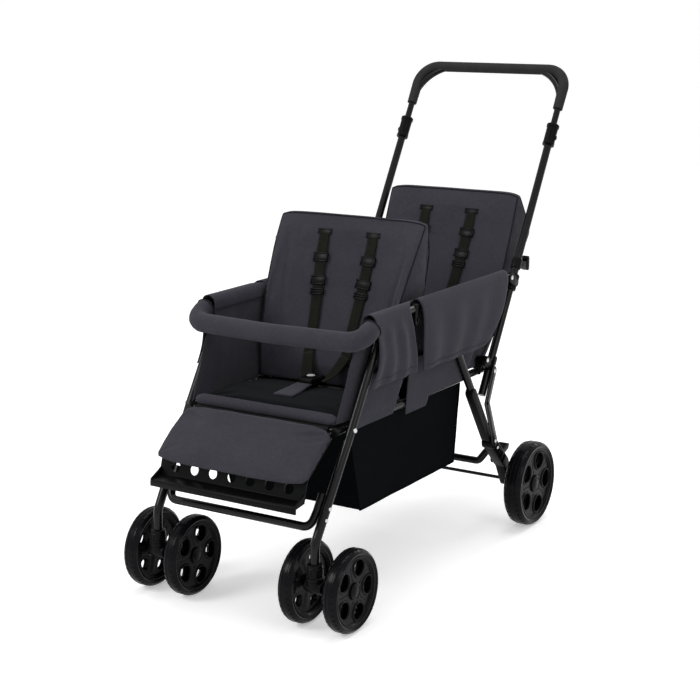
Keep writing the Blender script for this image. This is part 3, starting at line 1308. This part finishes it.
# Seat decks, the cloth from under each pad to its hinge rod

deck = {"half": 0.1700, "cloth": 0.0012, "sag": 0.0065, "high": 0.3938,
        "ends": {"front": (0.250, 0.296), "rear": (0.650, 0.694)}, "flat": (0.340, 0.046)}


def deckPoint(place, u, v):
    front, rear = deck["ends"][place]
    return at(deck["half"] * (2 * u - 1), front + (rear - front) * v,
              deck["high"] - deck["sag"] * sin(pi * v))


for place in ("front", "rear"):
    sling = clothSheet(place + "SeatDeck", lambda u, v: deckPoint(place, u, v), 24, 12, deck["cloth"],
                       innerCloth, deck["flat"])
    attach(sling, "seat_frame")
print("seat decks done")


# Lower skirts, which hang outside the seat tubes

skirts = {
    "front": {"rows": ((0.1893, 0.478, 0.146, 0.304), (0.1895, 0.470, 0.142, 0.302),
                       (0.1900, 0.430, 0.118, 0.286), (0.1902, 0.400, 0.100, 0.268),
                       (0.1906, 0.379, 0.094, 0.252)), "flat": (0.170, 0.100), "area": 0.0164, "seed": 4.0},
    "rear": {"rows": ((0.1890, 0.478, 0.323, 0.632), (0.1892, 0.470, 0.322, 0.630),
                      (0.1898, 0.430, 0.316, 0.605), (0.1902, 0.400, 0.309, 0.575),
                      (0.1906, 0.384, 0.305, 0.552)), "flat": (0.312, 0.115), "area": 0.0293, "seed": 9.0}}


def skirtPoint(style, sign, u, v):
    x, z, front, rear = spread(style["rows"], v)
    ripple = noise.noise(Vector((u * 4 + style["seed"], v * 5, sign * 1.3)))
    drop = 0.0
    if style is skirts["rear"]:
        drop = 0.020 * (1 - smoothStep(0.36, 0.40, u)) * smoothStep(0.55, 1.0, v)
    return at(sign * (x + 0.0008 * ripple), front + (rear - front) * u, z - drop)


for side, sign in sides.items():
    for place, style in skirts.items():
        skirt = clothSheet(place + "Skirt." + side, lambda u, v: skirtPoint(style, sign, u, v), 48, 36,
                           0.0012, seatCloth, style["flat"])
        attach(skirt, "seat_frame")
        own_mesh(skirt)
print("skirts done")


# Basket

basket = {"half": 0.1705, "floor": 0.1875, "floorY": (0.170, 0.575), "topY": (0.112, 0.586), "sag": 0.008,
          "wall": 0.0016, "flat": (0.74, 0.81), "area": 0.445}


def basketPoint(u, v, w):
    # u across from -1 to 1, v from front to rear, w from floor to rim
    front = basket["floorY"][0] + (basket["topY"][0] - basket["floorY"][0]) * w
    rear = basket["floorY"][1] + (basket["topY"][1] - basket["floorY"][1]) * w
    bulge = 0.006 * sin(pi * w) * (1 - (2 * v - 1) ** 4)
    narrow = basket["half"] - 0.008 * (1 - w) - bulge
    sag = basket["sag"] * (1 - u * u) * sin(pi * v) * (1 - w)
    y = front + (rear - front) * v
    y += 0.006 * sin(pi * w) * (1 - u * u) * (1 if v < 0.5 else -1) * (1 if v in (0, 1) else 0)
    z = basket["floor"] + (links["seatZ"] - basket["floor"]) * w - sag
    wave = 0.0016 * noise.noise(Vector((u * 2.0 + 3, v * 5, w * 3)))
    return at(u * narrow + wave * u, y, z)


bm = bmesh.new()
bmesh.ops.create_cube(bm, size=1.0)
lid = max(bm.faces, key=lambda face: face.calc_center_median().z)
bmesh.ops.delete(bm, geom=[lid], context="FACES_ONLY")
bmesh.ops.subdivide_edges(bm, edges=bm.edges[:], cuts=23, use_grid_fill=True)
layer = bm.loops.layers.uv.new("cloth")
for face in bm.faces:
    lie = face.normal
    for loop in face.loops:
        p = loop.vert.co
        if abs(lie.z) > 0.5:
            loop[layer].uv = (p.x * 0.34, p.y * 0.44)
        elif abs(lie.x) > 0.5:
            loop[layer].uv = (p.y * 0.44, p.z * 0.2)
        else:
            loop[layer].uv = (p.x * 0.34, p.z * 0.2)
for vert in bm.verts:
    vert.co = basketPoint(vert.co.x * 2, vert.co.y + 0.5, vert.co.z + 0.5)
bmesh.ops.recalc_face_normals(bm, faces=bm.faces[:])
shell = newPiece("basketShell", bm, basketCloth, "seat_frame", ("basket",), sharp=60)
wall = shell.modifiers.new("wall", "SOLIDIFY")
wall.thickness = basket["wall"]
wall.offset = -1.0
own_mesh(shell)
for name, u, v in (("frontLeft", 1, 0), ("frontRight", -1, 0), ("rearLeft", 1, 1), ("rearRight", -1, 1)):
    edge = [basketPoint(u, v, k / 24) for k in range(25)]
    tape = piping("basketBinding." + name, edge, 0.0022, "seat_frame", basketCloth)
    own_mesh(tape)
for side, sign in sides.items():
    edge = [basketPoint(sign, k / 40, 0) for k in range(41)]
    tape = piping("basketHem." + side, edge, 0.0020, "seat_frame", basketCloth)
    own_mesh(tape)
print("basket done")


# Harnesses and buckles

harness = {"width": 0.025, "thick": 0.0016, "slotZ": 0.715, "footZ": {"front": 0.452, "rear": 0.452},
           "topX": 0.061, "footX": 0.047, "sliders": {"front": (0.668, 0.618), "rear": (0.672, 0.625)},
           "adjuster": {"front": 0.597, "rear": 0.600}, "buckleY": {"front": 0.236, "rear": 0.625},
           "strapY": {"front": 0.130, "rear": 0.520}}


def onFace(tree, x, z):
    # the front of the pad at this place, and the way out of it
    return tree.ray_cast(at(x, 0.0, z), Vector((0, 1, 0)))[:2]


def ribbon(name, middles, normals, width, thick, body, material=None, widths=None):
    # flat strap: a grid laid along the path, then given its thickness
    lengths = [0.0]
    for a, b in zip(middles, middles[1:]):
        lengths.append(lengths[-1] + (b - a).length)
    count = len(middles) - 1

    def surface(u, v):
        k = min(v * count, count - 1e-6)
        i = int(k)
        p = middles[i].lerp(middles[i + 1], k - i)
        n = normals[i].lerp(normals[i + 1], k - i).normalized()
        line = (middles[i + 1] - middles[i]).normalized()
        side = line.cross(n).normalized()
        w = widths[i] + (widths[i + 1] - widths[i]) * (k - i) if widths else width
        return p + side * (u - 0.5) * w
    piece = clothSheet(name, surface, 6, count, thick, material or strapCloth, (width, lengths[-1]))
    if body:
        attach(piece, body)
    return piece


def slider(place, line, normal, width, depth, height, filled=False):
    # moulded slider round the strap: a rounded frame with a middle bar, or a closed plate
    side = line.cross(normal).normalized()
    base = Matrix.Translation(place) @ Matrix((side, line.normalized(), normal)).transposed().to_4x4()
    blocks = [(0, s * (depth / 2 - 0.0017), width, 0.0034, height) for s in (-1, 1)]
    blocks += [(s * (width / 2 - 0.0016), 0, 0.0032, depth, height) for s in (-1, 1)]
    plate = (0, 0, width - 0.002, depth - 0.002, height * 0.8)
    blocks.append(plate if filled else (0, 0, width, 0.003, height))
    parts = []
    for middle, down, wide, deep, high in blocks:
        bm = bmesh.new()
        bmesh.ops.create_cube(bm, size=1, matrix=base @ Matrix.Translation((middle, down, high / 2))
                              @ Matrix.Diagonal((wide, deep, high, 1)))
        parts.append(easeRims(bm, 0.0008))
    return gather(*parts)


for place in ("front", "rear"):
    pad = backPads[place]
    tree = faceTree(pad)
    body = place + "_back"
    hardware = []
    footZ = harness["footZ"][place]
    for side, sign in sides.items():
        middles = []
        normals = []
        steps = 44
        for k in range(steps + 1):
            z = harness["slotZ"] + (footZ - harness["slotZ"]) * k / steps
            inward = smoothStep(0, 1, k / steps)
            x = sign * (harness["topX"] + (harness["footX"] - harness["topX"]) * inward)
            spot, normal = onFace(tree, x, z)
            lift = 0.0018 + 0.0035 * smoothStep(0.0, 0.12, k / steps)
            middles.append(spot + Vector((0, -1, 0)) * lift)
            normals.append(Vector((0, -0.93, 0.36)))
        middles.insert(0, middles[0] + Vector((0, 0.006, 0.004)))
        normals.insert(0, normals[0])
        ribbon(place + "Strap." + side, middles, normals, harness["width"], harness["thick"], body)
        slotSpot = onFace(tree, sign * harness["topX"], harness["slotZ"] + 0.006)[0]
        hardware.append(slider(slotSpot + Vector((0, -0.0002, 0)), Vector((0, 0.36, 0.93)),
                               Vector((0, -0.93, 0.36)), harness["width"] + 0.010, 0.012, 0.0022, True))
        fasteners = [(z, 0.020, 0.011, True) for z in harness["sliders"][place]]
        fasteners.append((harness["adjuster"][place], 0.014, 0.008, False))
        for z, depth, wider, filled in fasteners:
            k = round((harness["slotZ"] - z) / (harness["slotZ"] - footZ) * steps) + 1
            line = (middles[k] - middles[k + 1]).normalized()
            hardware.append(slider(middles[k] - normals[k] * 0.0016, line, normals[k],
                                   harness["width"] + wider, depth, 0.0046, filled))
    newPiece(place + "StrapSliders", gather(*hardware), acetal, body, (place + "_harness",))

    # lap straps run from the backrest's foot to the buckle
    buckleY = harness["buckleY"][place]
    seatTree = faceTree(seatPads[place])
    top = seatTree.ray_cast(at(0, buckleY, 0.6), Vector((0, 0, -1)))[0].z
    for side, sign in sides.items():
        start = onFace(tree, sign * harness["footX"], footZ + 0.02)[0] + Vector((0, -0.0075, 0))
        end = at(sign * 0.020, buckleY + 0.006, top + 0.013)
        lap = [start]
        for k in range(1, 15):
            t = k / 14
            p = start.lerp(end, t)
            p.z -= 0.010 * sin(pi * t)
            p.z = max(p.z, top + 0.006)
            lap.append(p)
        leaning, lying = Vector((0, -0.8, 0.6)), Vector((0, -0.2, 0.98))
        lapNormals = [leaning.lerp(lying, k / 14).normalized() for k in range(15)]
        strap = ribbon(place + "LapStrap." + side, lap, lapNormals, harness["width"], harness["thick"],
                       None)
        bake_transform(strap)
        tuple(end)
    shellBlock = bmesh.new()
    bmesh.ops.create_cube(shellBlock, size=1, matrix=Matrix.Translation(at(0, buckleY, top + 0.0125))
                          @ Matrix.Diagonal((0.050, 0.050, 0.019, 1)))
    easeRims(shellBlock, 0.006, 4)
    for vert in shellBlock.verts:       # narrower towards the crotch strap
        share = smoothStep(-0.025, 0.025, vert.co.y - axleY - buckleY)
        vert.co.x *= 0.72 + 0.28 * share
    ring = moved(turned([(0.0103, -0.001), (0.0135, -0.001), (0.0128, 0.0016), (0.0103, 0.0016)], 36,
                        0.0004, True),
                 along(Vector((0, 0, 1)), at(0, buckleY, top + 0.0225)))
    newPiece(place + "BuckleShell", gather(shellBlock, ring), acetal, "seat_frame",
             (place + "_buckle",))
    dome = [(0, 0.0042), (0.005, 0.0039), (0.0085, 0.0028), (0.0099, 0.0008), (0.0099, -0.002), (0, -0.002)]
    raised = along(Vector((0, 0, 1)), at(0, buckleY, top + 0.0215))
    newPiece(place + "BuckleButton", moved(turned(dome, 36), raised),
             buttonPlastic, place + "_release", (place + "_buckle_button",))
    startY = harness["strapY"][place]
    crotch = []
    for k in range(13):
        y = startY + (buckleY - 0.018 - startY) * k / 12
        z = seatTree.ray_cast(at(0, y, 0.6), Vector((0, 0, -1)))[0].z
        crotch.append(at(0, y, z + 0.002 + 0.007 * smoothStep(0.35, 1.0, k / 12)))
    widths = [0.046 - 0.012 * smoothStep(0.2, 1.0, k / 12) for k in range(13)]
    ribbon(place + "CrotchStrap", crotch, [Vector((0, 0, 1))] * 13, 0.045, 0.0035, "seat_frame",
           seatCloth, widths)
print("harness done")


# Storage hook on the push tube

hook = {"distance": -0.33, "reach": 0.045}
x = frameX
hookParts = [collar(0.0118, 0.0092, 0.012, x, hook["distance"])]
spot = onPush(0, hook["distance"])
hookY, hookZ = spot.y - axleY, spot.z
hookParts.append(lug([(hookY + 0.010, hookZ - 0.004, 0.0085),
                      (hookY + hook["reach"], hookZ - 0.010, 0.010)], x - 0.006, x + 0.006))
hookParts.append(lug([(hookY + hook["reach"] + 0.004, hookZ - 0.016, 0.006),
                      (hookY + hook["reach"] + 0.004, hookZ + 0.006, 0.006)],
                     x - 0.0075, x + 0.0075))
newPiece("storageHook", gather(*hookParts), nylon, "push_frame")


# Floor, light and camera

stage = {"floor": "#fafafa", "size": 40.0, "glow": 0.38}
bm = bmesh.new()
bmesh.ops.create_grid(bm, x_segments=8, y_segments=8, size=stage["size"])
floorMaterial = newMaterial("paleStudioFloor")
floorPlace = objectPlace(floorMaterial)
dust = addNode(floorMaterial, "ShaderNodeTexNoise", values={"Scale": 3.0, "Detail": 3.0},
               links={"Vector": floorPlace})
dustShade = mixNode(floorMaterial, "#fdfdfd", stage["floor"], dust.outputs[0])


def seenRays(owner):
    # 1 for the rays that show the background: camera, mirror and see-through ones
    path = addNode(owner, "ShaderNodeLightPath")
    kinds = ("Camera", "Glossy", "Transmission")
    seen, mirror, through = (path.outputs["Is " + kind + " Ray"] for kind in kinds)
    return mathNode(owner, "MAXIMUM", {0: mathNode(owner, "MAXIMUM", {0: seen, 1: mirror}), 1: through})


floorGlow = mathNode(floorMaterial, "MULTIPLY", {0: seenRays(floorMaterial)}, {1: stage["glow"]})
finishMaterial(floorMaterial, {"Roughness": 0.75, "Specular IOR Level": 0.2,
                               "Emission Color": (1, 1, 1, 1)},
               {"Base Color": dustShade, "Emission Strength": floorGlow})
floor = newPiece("studioFloor", bm, floorMaterial, None)

world = bpy.data.worlds.new("studio")
scene.world = world
world.use_nodes = True
world.node_tree.nodes.clear()
soft = addNode(world, "ShaderNodeBackground", values={"Color": (1, 1, 1, 1), "Strength": 0.62})
white = addNode(world, "ShaderNodeBackground", values={"Color": (1, 1, 1, 1), "Strength": 1.0})
both = addNode(world, "ShaderNodeMixShader", links={0: seenRays(world), 1: soft.outputs[0],
                                                    2: white.outputs[0]})
addNode(world, "ShaderNodeOutputWorld", links={"Surface": both.outputs[0]})

lamps = (("keySoftbox", (-1.6, -2.9, 2.6), 1.4, 50), ("fillSoftbox", (2.9, -1.2, 2.0), 1.4, 12),
         ("topSoftbox", (0.0, 0.4, 3.2), 2.0, 32), ("backStrip", (0.6, 3.0, 2.2), 1.2, 16))
for name, place, size, power in lamps:
    lamp = bpy.data.lights.new(name, "AREA")
    lamp.shape = "DISK"
    lamp.size = size
    lamp.energy = power
    light = bpy.data.objects.new(name, lamp)
    light.location = place
    light.rotation_euler = (Vector((0, 0, 0.45)) - Vector(place)).to_track_quat("-Z", "Y").to_euler()
    scene.collection.objects.link(light)

photoView = {"place": (1.7989, -2.5056, 1.2422), "target": (-0.1465, 0.6290, 0.3995), "lens": 82.16}
cameraData = bpy.data.cameras.new("photoCamera")
cameraData.lens = photoView["lens"]
cameraData.sensor_width = 36
camera = bpy.data.objects.new("photoCamera", cameraData)
camera.location = at(*photoView["place"])
camera.rotation_euler = (at(*photoView["target"]) - camera.location).to_track_quat("-Z", "Y").to_euler()
scene.collection.objects.link(camera)
scene.camera = camera
